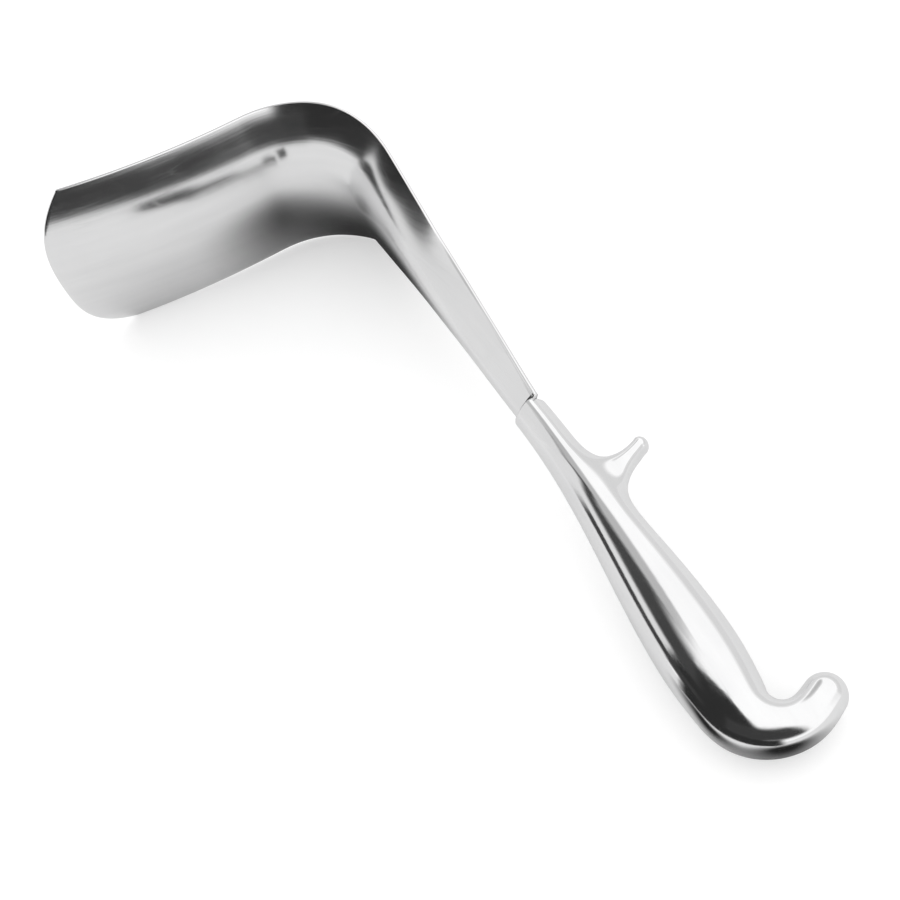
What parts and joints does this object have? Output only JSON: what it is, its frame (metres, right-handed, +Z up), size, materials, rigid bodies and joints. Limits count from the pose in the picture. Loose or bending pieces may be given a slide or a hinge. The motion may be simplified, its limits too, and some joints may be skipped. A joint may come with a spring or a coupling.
{
  "type": "handheld surgical retractor",
  "caption": "L-shaped steel retractor: broad gutter blade bent into a tapering shank, brazed to a rounded handle with a finger spur and a hooked end.",
  "frame": {"origin": "middle of the tool's ground outline, on the plane the tool lies on", "axes": "+X along the handle from the blade end to the hooked end, -Y from the shank towards the blade tip, +Z up, across the blade"},
  "size_m": [0.2416, 0.1048, 0.0598],
  "materials": {
    "blade_steel": "satin, faint lengthwise polishing marks",
    "handle_steel": "fine satin polish"
  },
  "bodies": {
    "root": {"blade": "blade_steel", "handle": "handle_steel"}
  },
  "joints": []
}
